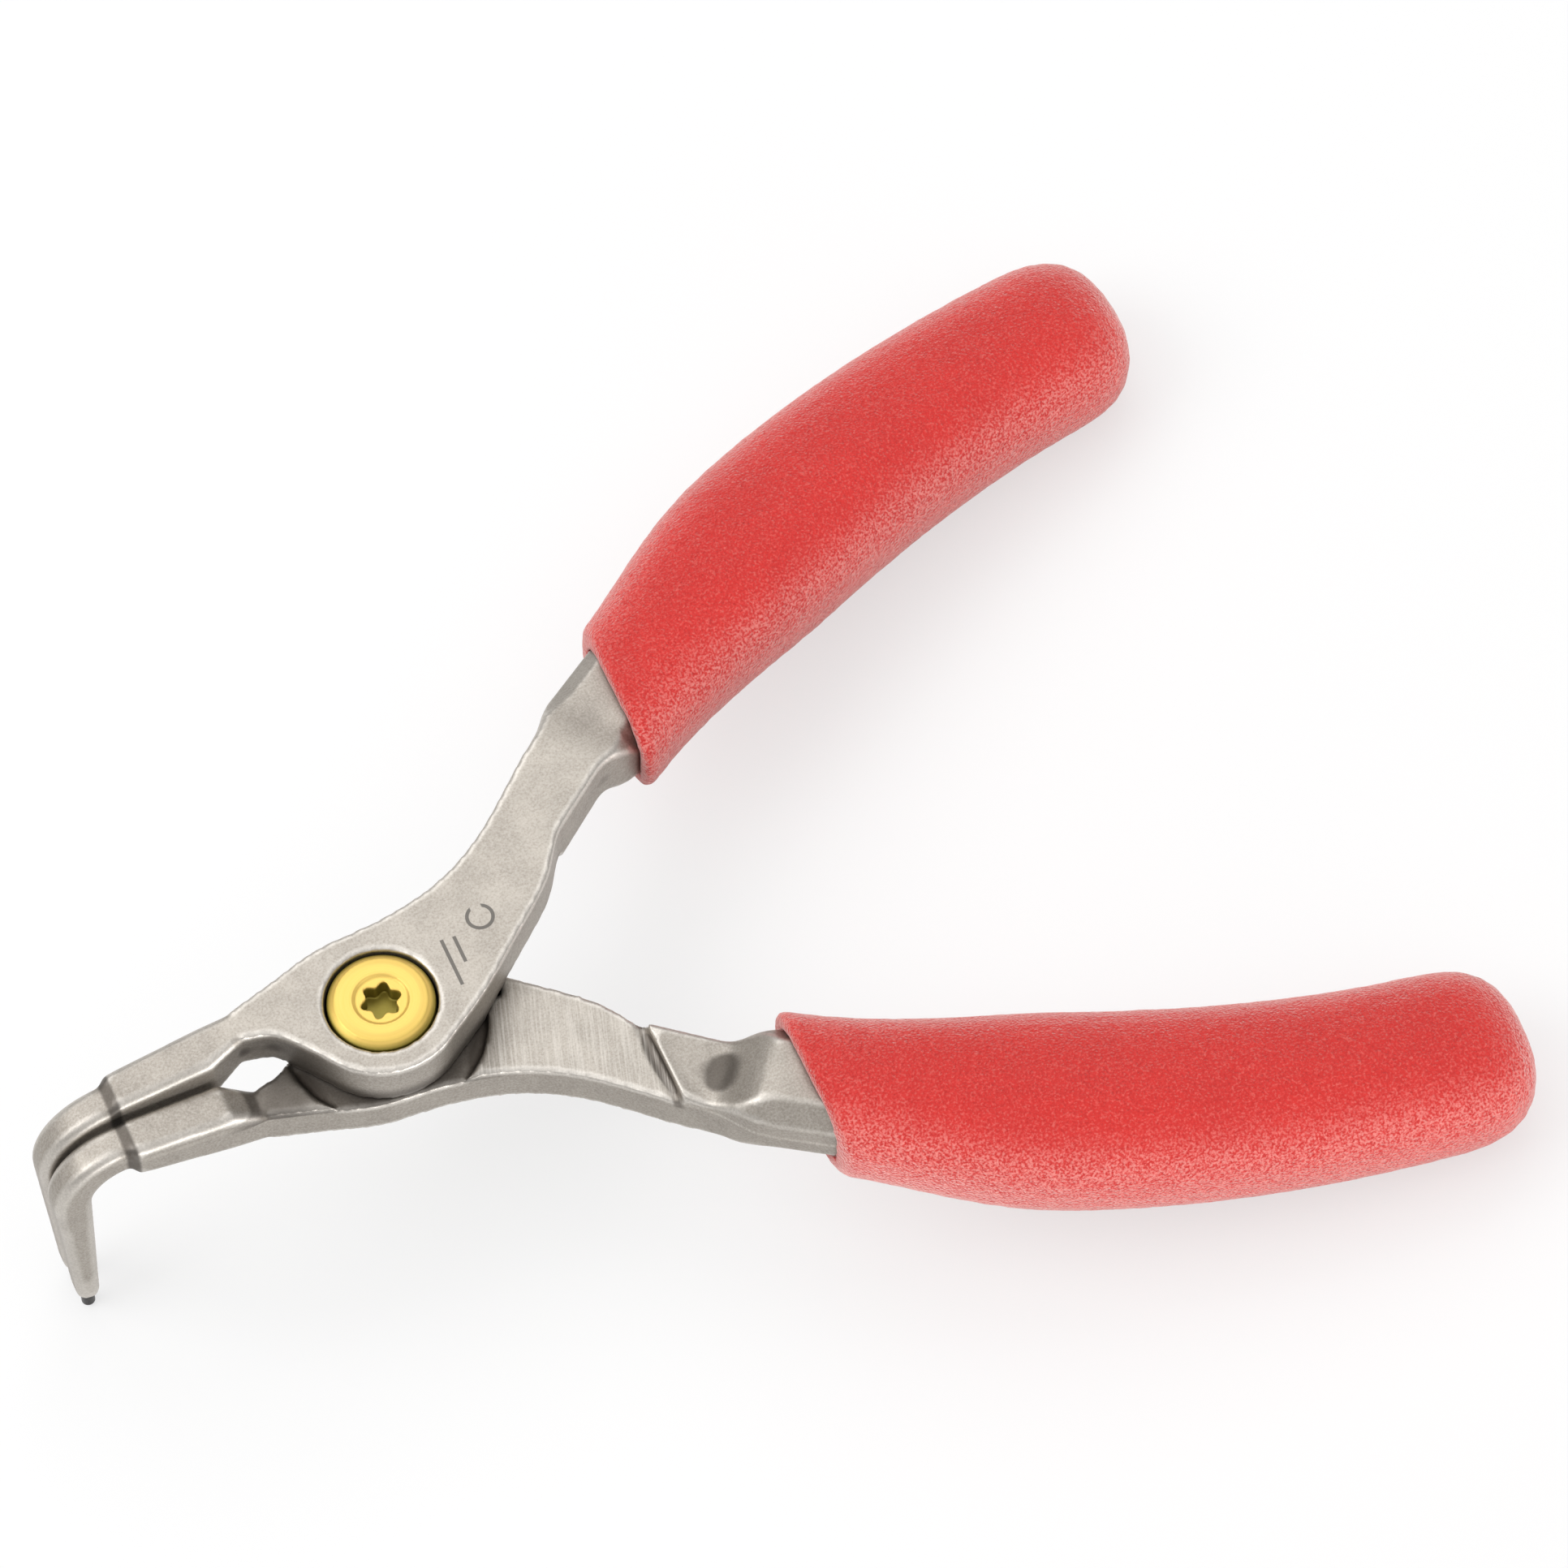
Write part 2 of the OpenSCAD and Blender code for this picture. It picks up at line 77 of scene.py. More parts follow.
# Linear colours of the finishes, and of the shade and sheen painted on them
STEEL = (0.440, 0.404, 0.358)
STEEL_BURNISHED = (0.740, 0.705, 0.655)
# A dark steel tone: the steel's own dark grain and clouds, and also painted shade on flanks, creases and
# the groove
STEEL_DARK_AND_SHADE = (0.150, 0.130, 0.112)
# Deep painted shade, laid in hollows, across the nose shoulders and about the joint
SCALE = (0.080, 0.068, 0.058)
MARK = (0.100, 0.094, 0.088)
RED = (0.590, 0.010, 0.006)
RED_PALE = (0.820, 0.230, 0.190)
RED_DEEP = (0.440, 0.006, 0.005)
# Pale red painted on the grips' sides as sheen
RED_PAINTED_SHEEN = (0.860, 0.360, 0.320)
SHEEN = (1.0, 0.80, 0.77)
ZINC = (0.770, 0.530, 0.135)
ZINC_DEEP = (0.500, 0.400, 0.040)
# Dark olive painted as shade in the screw's socket
ZINC_SOCKET_SHADE = (0.170, 0.150, 0.014)
WIRE = (0.050, 0.049, 0.050)
SPRING = (0.150, 0.145, 0.140)
TIP_ROUGHNESS = 0.32
SPRING_ROUGHNESS = 0.35

# How coarsely each casting is rounded off, and in how many passes
FORGING_CELL = 0.235 * MM
FORGING_PASSES = 12
GRIP_CELL = 0.27 * MM
GRIP_PASSES = 5
SCREW_CELL = 0.08 * MM
SCREW_PASSES = 2
SCREW_FACES_KEPT = 0.8
SMOOTHING = 0.5
SEAM = 0.001 * MM

# Inside corner of each lever's step and the room for the coil, about the pivot: these keep their fit
STEP_REACH = (8.9 * MM, 10.4 * MM)
STEP_HEIGHT = {"upper": (-0.3 * MM, 0.4 * MM), "lower": (-0.9 * MM, -0.3 * MM)}
COIL_WALL_R = 7.2 * MM
COIL_ROOM_TOP = 1.2 * MM
FIT_SOFTNESS = 0.05

# Return spring between the levers, in their frame; a leg is its direction and its reach
COIL_R = 5.3 * MM
COIL_LOW = -1.65 * MM
COIL_HIGH = 0.55 * MM
COIL_TURNS = 2
COIL_POINTS = 48
WIRE_R = 0.4 * MM
WIRE_SIDES = 14
LOWER_LEG = (math.radians(-4), 11.0 * MM)
UPPER_LEG = (math.radians(38), 8.6 * MM)
BEND_R = 0.7 * MM
BEND_POINTS = 5
WELD = 0.05 * MM

# Foam of the grips, raised in the mesh
FOAM_DEPTH = 0.16 * MM
FOAM_SCALE = 0.75 / MM
FOAM_LEVEL = 0.62

# Fine grain and broad clouds of the finishes, as so many to a millimetre, and the depth of the grain
STEEL_GRAIN = 4.5
STEEL_CLOUDS = 0.3
STEEL_RELIEF = 0.012 * MM
GRIP_GRAIN = 4.2
GRIP_CELLS = 3.4
GRIP_CLOUDS = 0.12
GRIP_RELIEF = 0.30 * MM
ZINC_GRAIN = 7.0
ZINC_RELIEF = 0.008 * MM
WIRE_GRAIN = 6.0
WIRE_RELIEF = 0.006 * MM

# Soft limits, as (from, to), between which a grain or a cloud counts
STEEL_CLOUDED = (0.3, 0.7)
STEEL_BRIGHT = (0.40, 0.72)
STEEL_DARK = (0.30, 0.48)
LINES_BRIGHT = (0.42, 0.66)
GRIP_CLOUDED = (0.35, 0.7)
GRIP_PALE = (0.48, 0.74)
GRIP_SHEEN_GRAIN = (0.38, 0.62)
GRIP_PORES = (0.28, 0.44)
GRIP_GLOSSY = (0.45, 0.7)
ZINC_TURNED = (0.3, 0.7)
WIRE_DARK = (0.4, 0.7)

# Attributes of a forging: how far a spot stands out from what is near it and from what is round about; the
# first sets rubbed edges and painted shade in creases, the second painted shade in hollows
EDGE_RUB_AND_SHADE = "edge_rub_and_shade"
HOLLOW = "hollow"

# Places and soft limits on the levers, in millimetres of their frame
BURNISHED_EDGE = (0.030, 0.080)
SHADED_CORNER = (-0.070, -0.015)
SHADED_HOLLOW = (-0.11, -0.005)
# The shoulder across each nose and the groove at the lower lever's step take bands of painted shade
SHOULDER_X = -26.0
SHOULDER_HALF = (0.35, 0.75)
GROOVE_X = 21.4
GROOVE_HALF = (0.15, 0.5)
GROOVE_DEEP = (0.7, 1.2)

# Ground faces, which keep the light steel tone while the rest is darker, partly blasted finish and partly
# painted shade; and painted shade about the joint: over the lower lever's lap, low on the upper lever near
# the pivot and in the waist between boss and nose
AXIS = (0.0, 0.0)
WAIST = (-11.5, -3.0)
WAIST_REACH = (2.0, 6.5)
WAIST_TOP = (3.4, 4.2)
TOP_FACE = (4.1, 4.5)
LAP_LOW = (-0.45, -0.15)
LAP_HIGH = (0.10, 0.30)
LAP_SHADE_REACH = (7.5, 13.5)
LAP_SHADE_LOW = (-0.95, -0.7)
LAP_SHADE_HIGH = (0.3, 0.6)
BOSS_SHADE_REACH = (11.0, 14.0)
BOSS_SHADE_HIGH = (0.1, 1.8)

# Milling lines on the lap behind the joint: their turn, and how fine they are across and along
LINES_TURN = math.radians(17.0)
LINES_ACROSS = 3.2
LINES_ALONG = 0.08
LINES_GRAIN = 1.6
LINES_FROM = (0.0, 6.0)

# Plain open ring and bars on top of the joint; a bar is its place and half its length
RING = (11.6, 4.4)
RING_R = 1.2
RING_GAP_HALF = (0.45, 0.6)
RING_GAP_FROM = (-0.2, 0.0)
MARK_HALF = (0.14, 0.2)
BARS = ((7.4, 1.0, 2.6), (8.6, 2.0, 1.5))
BAR_END = 0.1
MARK_FACE = (4.2, 4.4)

# Height either side of z = 0 in the levers' frame within which a pale sheen is painted on the grips, fading
# out between these limits
SHEEN_HEIGHT = (3.6, 6.6)

# Screw head: how fine its turned rings are outwards and upwards, and where the socket begins
TURNED_RINGS = 9.0
TURNED_RISE = 2.0
SOCKET_TOP = (4.1, 4.5)

# Camera, in the levers' frame
VIEW_AZIMUTH = math.radians(-24.0)
VIEW_ELEVATION = math.radians(59.0)
LENS = 160.0
SENSOR = 36.0
FILL = 0.960
FRAMING_ROUNDS = 12
NEAREST = 0.01

# Studio: a pale floor that ends in a white sweep, a dim room above it and a bright ceiling
PAPER = (0.800, 0.800, 0.800)
WHITE = (1.00, 1.00, 1.00)
SWEEP = (1.00, 1.00, 1.00)
ROOM = (0.20, 0.195, 0.19)
CEILING = (1.08, 1.08, 1.08)
FLOOR_HALF = 0.7
FLOOR_WHITE = 0.62
SWEEP_TOP = (0.10, 0.22)
CEILING_FROM = (0.28, 0.80)
LAMP_AIM = Vector((0, 0, 0.01))
LAMPS = (
    ("key", (-0.60, 0.20, 0.70), (0.7, 0.7), 3.5),
    ("top", (0.20, 0.55, 0.75), (0.8, 0.6), 2.0),
    ("front", (0.25, -0.90, 0.07), (1.2, 0.12), 6.0),
)


class Value:
    """A shader socket: arithmetic on it adds Math nodes to its tree."""

    def __init__(self, finish, socket):
        self.finish = finish
        self.socket = socket

    def math(self, operation, *others):
        return self.finish.math(operation, self, *others)

    def __add__(self, other):
        return self.math("ADD", other)

    def __radd__(self, other):
        return self.finish.math("ADD", other, self)

    def __sub__(self, other):
        return self.math("SUBTRACT", other)

    def __rsub__(self, other):
        return self.finish.math("SUBTRACT", other, self)

    def __mul__(self, other):
        return self.math("MULTIPLY", other)

    def __rmul__(self, other):
        return self.finish.math("MULTIPLY", other, self)

    def __abs__(self):
        return self.math("ABSOLUTE")

    def above(self, limits):
        """0 below the limits, 1 above them and smooth between."""
        settings = {"interpolation_type": "SMOOTHSTEP"}
        inputs = {"Value": self, "From Min": limits[0], "From Max": limits[1]}
        return self.finish.node("ShaderNodeMapRange", settings, inputs)["Result"]

    def below(self, limits):
        """1 below the limits, 0 above them and smooth between."""
        return 1.0 - self.above(limits)


class Outputs:
    """A node's outputs by name."""

    def __init__(self, finish, node):
        self.finish = finish
        self.node = node

    def __getitem__(self, name):
        return Value(self.finish, self.node.outputs[name])


class Finish:
    """The nodes of one material or world, made from types, settings and socket values."""

    def __init__(self, name, owner=None):
        self.material = owner or bpy.data.materials.new(name)
        self.material.use_nodes = True
        self.tree = self.material.node_tree
        self.tree.nodes.clear()

    def node(self, kind, settings=None, inputs=None):
        node = self.tree.nodes.new(kind)
        for name, value in (settings or {}).items():
            setattr(node, name, value)
        for name, value in (inputs or {}).items():
            if isinstance(value, Value):
                self.tree.links.new(value.socket, node.inputs[name])
            else:
                node.inputs[name].default_value = value
        return Outputs(self, node)

    def math(self, operation, *values):
        return self.node("ShaderNodeMath", {"operation": operation}, dict(enumerate(values)))["Value"]

    def mix(self, share, a, b):
        """Colour b over colour a; a Mix node's colours are its inputs 6 and 7 and its output 2."""
        inputs = {0: share}
        for name, colour in {6: a, 7: b}.items():
            inputs[name] = colour if isinstance(colour, Value) else (*colour, 1.0)
        return self.node("ShaderNodeMix", {"data_type": "RGBA"}, inputs)[2]

    def layered(self, base, *layers):
        """A base colour under layers of (share, colour)."""
        colour = base
        for share, tone in layers:
            colour = self.mix(share, colour, tone)
        return colour

    def noise(self, place, scale, detail=2.0, roughness=0.5):
        inputs = {"Vector": place, "Scale": scale, "Detail": detail, "Roughness": roughness}
        return self.node("ShaderNodeTexNoise", None, inputs)["Fac"]

    def attribute(self, name):
        return self.node("ShaderNodeAttribute", {"attribute_name": name})["Fac"]

    def tool_place(self):
        """Millimetres in the levers' frame."""
        place = self.node("ShaderNodeTexCoord")["Object"]
        inputs = {"Vector": place, "Location": PIVOT, "Rotation": (0, TILT, 0), "Scale": (MM, MM, MM)}
        return self.node("ShaderNodeMapping", {"vector_type": "TEXTURE"}, inputs)["Vector"]

    def axes(self, place):
        split = self.node("ShaderNodeSeparateXYZ", None, {"Vector": place})
        return split["X"], split["Y"], split["Z"]

    def flat_place(self, x, y):
        return self.node("ShaderNodeCombineXYZ", None, {"X": x, "Y": y})["Vector"]

    def bump(self, height, distance, strength, normal=None):
        inputs = {"Height": height, "Distance": distance, "Strength": strength}
        if normal:
            inputs["Normal"] = normal
        return self.node("ShaderNodeBump", None, inputs)["Normal"]

    def principled(self, **inputs):
        """The finished material, with a Principled shader's inputs by name."""
        named = {name.replace("_", " "): value for name, value in inputs.items()}
        for name, value in named.items():
            if isinstance(value, tuple):
                named[name] = (*value, 1.0)
        return self.surface(self.node("ShaderNodeBsdfPrincipled", None, named)["BSDF"])

    def surface(self, shader):
        self.node("ShaderNodeOutputMaterial", None, {"Surface": shader})
        return self.material


def reach_from(middle, x, y):
    """Distance from a place on the levers, seen along the pivot."""
    dx = x - middle[0]
    dy = y - middle[1]
    return (dx * dx + dy * dy).math("SQRT")


def ground_and_joint_shade(side, x, y, z):
    """Where a lever is ground bright, and where painted shade darkens it about the joint."""
    reach = reach_from(AXIS, x, y)
    waist = reach_from(WAIST, x, y).below(WAIST_REACH)
    if side == "lower":
        shade_area = reach.below(LAP_SHADE_REACH).math("MAXIMUM", waist)
        ground = z.above(LAP_LOW) * z.below(LAP_HIGH)
        return ground, shade_area * z.above(LAP_SHADE_LOW) * z.below(LAP_SHADE_HIGH)
    shade_area = reach.below(BOSS_SHADE_REACH) * z.below(BOSS_SHADE_HIGH)
    return z.above(TOP_FACE), shade_area.math("MAXIMUM", waist * z.below(WAIST_TOP))


def forged_steel(name, side):
    """Blasted forging with a ground face: fine grain and burnished edges; the unground faces darker, partly
    blasted finish and partly painted shade; painted shade in creases, hollows, the groove, across the nose
    shoulders and about the joint.
    """
    finish = Finish(name)
    place = finish.tool_place()
    x, y, z = finish.axes(place)
    grain = finish.noise(place, STEEL_GRAIN, 3.0, 0.65)
    cloud = finish.noise(place, STEEL_CLOUDS)
    edge = finish.attribute(EDGE_RUB_AND_SHADE)
    burnish = edge.above(BURNISHED_EDGE) * (0.35 + 0.65 * grain)
    hollow = finish.attribute(HOLLOW).below(SHADED_HOLLOW)
    shoulder = abs(x - SHOULDER_X).below(SHOULDER_HALF)
    groove = abs(x - GROOVE_X).below(GROOVE_HALF) * abs(z).below(GROOVE_DEEP)
    ground, joint_shade = ground_and_joint_shade(side, x, y, z)
    colour = finish.layered(
        STEEL,
        # Faces that are not ground take a darker tone: partly their blasted finish, partly painted shade on
        # the walls
        ((1.0 - ground) * 0.22, STEEL_DARK_AND_SHADE),
        (cloud.above(STEEL_CLOUDED) * 0.16, STEEL_DARK_AND_SHADE),
        (grain.above(STEEL_BRIGHT) * 0.22, STEEL_BURNISHED),
        (grain.below(STEEL_DARK) * 0.22, STEEL_DARK_AND_SHADE),
        (burnish * 0.75, STEEL_BURNISHED),
        # Painted shade in the inside corners and creases
        (edge.below(SHADED_CORNER) * 0.6, STEEL_DARK_AND_SHADE),
        # Painted shade in the hollows, such as the scoop and the steps
        (hollow * 0.8, SCALE),
        # Painted shade about the joint, mottled by the clouds
        (joint_shade * (0.6 + 0.3 * cloud), SCALE),
        # Painted shade in a band across each nose's shoulder
        (shoulder * 0.8, SCALE),
        # Painted shade in the groove at the lower lever's step
        (groove * 0.7, STEEL_DARK_AND_SHADE),
    )
    normal = finish.bump(grain, STEEL_RELIEF, 0.9)
    if side == "lower":
        lines = milling_lines(finish, x, y) * ground
        colour = finish.mix(lines.above(LINES_BRIGHT) * 0.30, colour, STEEL_BURNISHED)
        normal = finish.bump(lines, STEEL_RELIEF, 0.7, normal)
    else:
        colour = finish.mix(size_mark(x, y, z) * (0.72 + 0.2 * grain), colour, MARK)
    rough = 0.47 + 0.08 * cloud - 0.12 * burnish
    return finish.principled(Base_Color=colour, Metallic=1.0, Roughness=rough, Normal=normal)


def milling_lines(finish, x, y):
    """Long fine lines that the cutter leaves on the lap."""
    across = x * math.cos(LINES_TURN) - y * math.sin(LINES_TURN)
    along = x * math.sin(LINES_TURN) + y * math.cos(LINES_TURN)
    sweep = finish.flat_place(across * LINES_ACROSS, along * LINES_ALONG)
    return finish.noise(sweep, LINES_GRAIN, 2.0, 0.7) * x.above(LINES_FROM)


def size_mark(x, y, z):
    """A plain open ring beside two plain bars, marked dark on the top of the joint."""
    ring = abs(reach_from(RING, x, y) - RING_R).below(MARK_HALF)
    gap = (y - RING[1]).above(RING_GAP_FROM) * abs(x - RING[0]).below(RING_GAP_HALF)
    mark = ring * (1.0 - gap)
    for bar_x, bar_y, half in BARS:
        along = abs(y - bar_y).below((half - BAR_END, half))
        mark = mark.math("MAXIMUM", along * abs(x - bar_x).below(MARK_HALF))
    return mark * z.above(MARK_FACE)


def dipped_grip(name):
    """Foamed red dip: open grain with dark pores, and a pale sheen painted around the grips' middle height
    that fades out towards their top and bottom.
    """
    finish = Finish(name)
    place = finish.tool_place()
    z = finish.axes(place)[2]
    grain = finish.noise(place, GRIP_GRAIN, 2.0, 0.6)
    cells = finish.node("ShaderNodeTexVoronoi", None, {"Vector": place, "Scale": GRIP_CELLS})["Distance"]
    cloud = finish.noise(place, GRIP_CLOUDS)
    colour = finish.layered(
        RED,
        (cloud.above(GRIP_CLOUDED) * 0.2, RED_DEEP),
        (grain.above(GRIP_PALE) * 0.34, RED_PALE),
        # Painted pale sheen on the grips' sides, carried by the grain
        (abs(z).below(SHEEN_HEIGHT) * grain.above(GRIP_SHEEN_GRAIN) * 0.46, RED_PAINTED_SHEEN),
        (grain.below(GRIP_PORES) * 0.65, RED_DEEP),
    )
    return finish.principled(
        Base_Color=colour,
        Roughness=0.58 - 0.12 * grain.above(GRIP_GLOSSY),
        Normal=finish.bump(grain * 0.7 + cells * 0.4, GRIP_RELIEF, 0.90),
        Sheen_Weight=1.0,
        Sheen_Roughness=0.36,
        Sheen_Tint=SHEEN,
        Specular_IOR_Level=0.45,
    )


def yellow_zinc(name):
    """Plated screw: turned rings on the head, and painted shade in the socket, below the head's top."""
    finish = Finish(name)
    place = finish.tool_place()
    x, y, z = finish.axes(place)
    turned = finish.flat_place(reach_from(AXIS, x, y) * TURNED_RINGS, z * TURNED_RISE)
    rings = finish.noise(turned, 1.0)
    grain = finish.noise(place, ZINC_GRAIN)
    colour = finish.layered(
        ZINC,
        (rings.above(ZINC_TURNED) * 0.22, ZINC_DEEP),
        # Painted shade in the socket: everything below the head's top takes the dark olive
        (z.below(SOCKET_TOP) * 0.85, ZINC_SOCKET_SHADE),
    )
    return finish.principled(
        Base_Color=colour,
        Metallic=0.6,
        Roughness=0.34 + 0.12 * grain,
        Normal=finish.bump(rings * 0.6 + grain * 0.4, ZINC_RELIEF, 0.6),
    )


def drawn_wire(name, base, rough):
    """Hard wire with a fine drawn grain."""
    finish = Finish(name)
    grain = finish.noise(finish.tool_place(), WIRE_GRAIN)
    return finish.principled(
        Base_Color=finish.mix(grain.above(WIRE_DARK) * 0.35, base, STEEL_DARK_AND_SHADE),
        Metallic=1.0,
        Roughness=rough + 0.1 * grain,
        Normal=finish.bump(grain, WIRE_RELIEF, 0.6),
    )


def linked(name, data):
    """A new object in the scene."""
    obj = bpy.data.objects.new(name, data)
    bpy.context.scene.collection.objects.link(obj)
    return obj


def piece(name, mesh, node, material):
    """A finished piece that stands for a CAD node."""
    obj = linked(name, mesh)
    mesh.materials.clear()
    mesh.materials.append(material)
    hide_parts(node)
    return obj


def rigid_piece(name, mesh, node, material):
    """A piece that moves whole with its body."""
    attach(piece(name, mesh, node, material), frame["nodes"][node]["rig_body"])


def baked(obj):
    """The object's mesh with its modifiers applied; the object itself goes."""
    depsgraph = bpy.context.evaluated_depsgraph_get()
    mesh = bpy.data.meshes.new_from_object(obj.evaluated_get(depsgraph))
    bpy.data.objects.remove(obj)
    mesh.shade_smooth()
    return mesh


def merged_copy(node):
    """A copy of a CAD node's mesh with its loose triangles joined."""
    mesh = frame["nodes"][node].data.copy()
    work = bmesh.new()
    work.from_mesh(mesh)
    bmesh.ops.remove_doubles(work, verts=work.verts, dist=SEAM)
    work.to_mesh(mesh)
    work.free()
    return mesh


def softness(mesh, step):
    """How strongly each spot is rounded: a lever's inside corners are not filled."""
    spots = {1.0: [], FIT_SOFTNESS: []}
    to_tool = TOOL.inverted()
    for vertex in mesh.vertices:
        x, y, z = to_tool @ vertex.co
        reach = math.hypot(x, y)
        corner = step and STEP_REACH[0] < reach < STEP_REACH[1] and step[0] < z < step[1]
        room = step and reach < COIL_WALL_R and z < COIL_ROOM_TOP
        spots[FIT_SOFTNESS if corner or room else 1.0].append(vertex.index)
    return spots


def rounded_off(node, cell, passes, step=None, keep=1.0):
    """A copy of a CAD node with its edges rounded as a casting's are."""
    obj = linked("work", merged_copy(node))
    remesh = obj.modifiers.new("cells", "REMESH")
    remesh.mode = "VOXEL"
    remesh.voxel_size = cell
    obj = linked("work", baked(obj))
    group = obj.vertex_groups.new(name="softness")
    for share, spots in softness(obj.data, step).items():
        group.add(spots, share, "REPLACE")
    smooth = obj.modifiers.new("smooth", "SMOOTH")
    smooth.factor = SMOOTHING
    smooth.iterations = passes
    smooth.vertex_group = group.name
    if keep < 1.0:
        thin = obj.modifiers.new("thin", "DECIMATE")
        thin.ratio = keep
    return baked(obj)


class Recipe:
    """A Geometry Nodes tree with named inputs, made the same way as a finish."""

    def __init__(self, name, sizes, takes_mesh=False):
        self.tree = bpy.data.node_groups.new(name, "GeometryNodeTree")
        self.name = name
        self.sizes = sizes
        if takes_mesh:
            self.socket("Geometry", "INPUT", "NodeSocketGeometry")
        for size, value in sizes.items():
            self.socket(size, "INPUT", "NodeSocketInt" if isinstance(value, int) else "NodeSocketFloat")
        self.socket("Geometry", "OUTPUT", "NodeSocketGeometry")
        self.given = self.tree.nodes.new("NodeGroupInput")

    def socket(self, name, way, kind):
        self.tree.interface.new_socket(name, in_out=way, socket_type=kind)

    def node(self, kind, settings=None, inputs=None):
        """A node's outputs; a list goes to a socket that takes several links."""
        node = self.tree.nodes.new(kind)
        for name, value in (settings or {}).items():
            setattr(node, name, value)
        for name, value in (inputs or {}).items():
            links = value if isinstance(value, list) else [value]
            if isinstance(links[0], bpy.types.NodeSocket):
                for link in links:
                    self.tree.links.new(link, node.inputs[name])
            else:
                node.inputs[name].default_value = value
        return node.outputs

    def size(self, name):
        return self.given.outputs[name]

    def math(self, operation, a, b):
        return self.node("ShaderNodeMath", {"operation": operation}, {0: a, 1: b})[0]

    def vector_math(self, operation, inputs):
        return self.node("ShaderNodeVectorMath", {"operation": operation}, inputs)

    def blurred(self, kind, value, rounds):
        inputs = {"Value": value, "Iterations": self.size(rounds)}
        return self.node("GeometryNodeBlurAttribute", {"data_type": kind}, inputs)[0]

    def made(self, geometry, material, mesh=None):
        """The finished mesh: whole, with its material."""
        whole = self.node("GeometryNodeRealizeInstances", None, {"Geometry": geometry})["Geometry"]
        dress = {"Geometry": whole, "Material": material}
        dressed = self.node("GeometryNodeSetMaterial", None, dress)["Geometry"]
        self.node("NodeGroupOutput", None, {"Geometry": dressed})
        obj = linked("work", mesh or bpy.data.meshes.new("work"))
        modifier = obj.modifiers.new(self.name, "NODES")
        modifier.node_group = self.tree
        for item in self.tree.interface.items_tree:
            if item.in_out == "INPUT" and item.name in self.sizes:
                modifier[item.identifier] = self.sizes[item.name]
        return baked(obj)


def with_rub_and_shade(mesh, material):
    """A forging that knows how far each spot stands out from its surroundings, in millimetres, for its
    rubbed edges and its painted shade.
    """
    recipe = Recipe("wear", {"Edge reach": 10, "Hollow reach": 90, "Settling": 3}, takes_mesh=True)
    here = recipe.node("GeometryNodeInputPosition")[0]
    normal = recipe.node("GeometryNodeInputNormal")[0]
    skin = recipe.size("Geometry")
    for name, reach in ((EDGE_RUB_AND_SHADE, "Edge reach"), (HOLLOW, "Hollow reach")):
        around = recipe.blurred("FLOAT_VECTOR", here, reach)
        away = recipe.vector_math("SUBTRACT", {0: here, 1: around})[0]
        height = recipe.vector_math("DOT_PRODUCT", {0: away, 1: normal})["Value"]
        level = recipe.blurred("FLOAT", recipe.math("DIVIDE", height, MM), "Settling")
        inputs = {"Geometry": skin, "Name": name, "Value": level}
        skin = recipe.node("GeometryNodeStoreNamedAttribute", {"data_type": "FLOAT"}, inputs)["Geometry"]
    return recipe.made(skin, material, mesh)


def foamed(mesh, material):
    """The grip's skin, raised and sunk a little by its foam."""
    recipe = Recipe("foam", {"Grain depth": FOAM_DEPTH, "Grain scale": FOAM_SCALE}, takes_mesh=True)
    grain = recipe.node("ShaderNodeTexNoise", None, {"Scale": recipe.size("Grain scale"), "Detail": 2.0})[0]
    height = recipe.math("MULTIPLY", recipe.math("SUBTRACT", grain, FOAM_LEVEL), recipe.size("Grain depth"))
    normal = recipe.node("GeometryNodeInputNormal")[0]
    offset = recipe.vector_math("SCALE", {0: normal, "Scale": height})[0]
    inputs = {"Geometry": recipe.size("Geometry"), "Offset": offset}
    skin = recipe.node("GeometryNodeSetPosition", None, inputs)["Geometry"]
    return recipe.made(skin, material, mesh)


def spring_strands(recipe):
    """The coil's centre line and the line of each leg, end to end."""
    coil = {
        "Resolution": COIL_POINTS,
        "Rotations": recipe.size("Turns"),
        "Start Radius": recipe.size("Coil radius"),
        "End Radius": recipe.size("Coil radius"),
        "Height": recipe.size("Rise"),
        "Reverse": True,
    }
    spiral = recipe.node("GeometryNodeCurveSpiral", None, coil)["Curve"]
    turn = {"Geometry": spiral, "Translation": (0, 0, COIL_LOW), "Rotation": (0, 0, LOWER_LEG[0])}
    strands = [recipe.node("GeometryNodeTransform", None, turn)["Geometry"]]
    for (angle, reach), height in ((LOWER_LEG, COIL_LOW), (UPPER_LEG, COIL_HIGH)):
        ends = [(r * math.cos(angle), r * math.sin(angle), height) for r in (COIL_R, reach)]
        leg = {"Start": ends[0], "End": ends[1]}
        strands.append(recipe.node("GeometryNodeCurvePrimitiveLine", None, leg)["Curve"])
    return strands


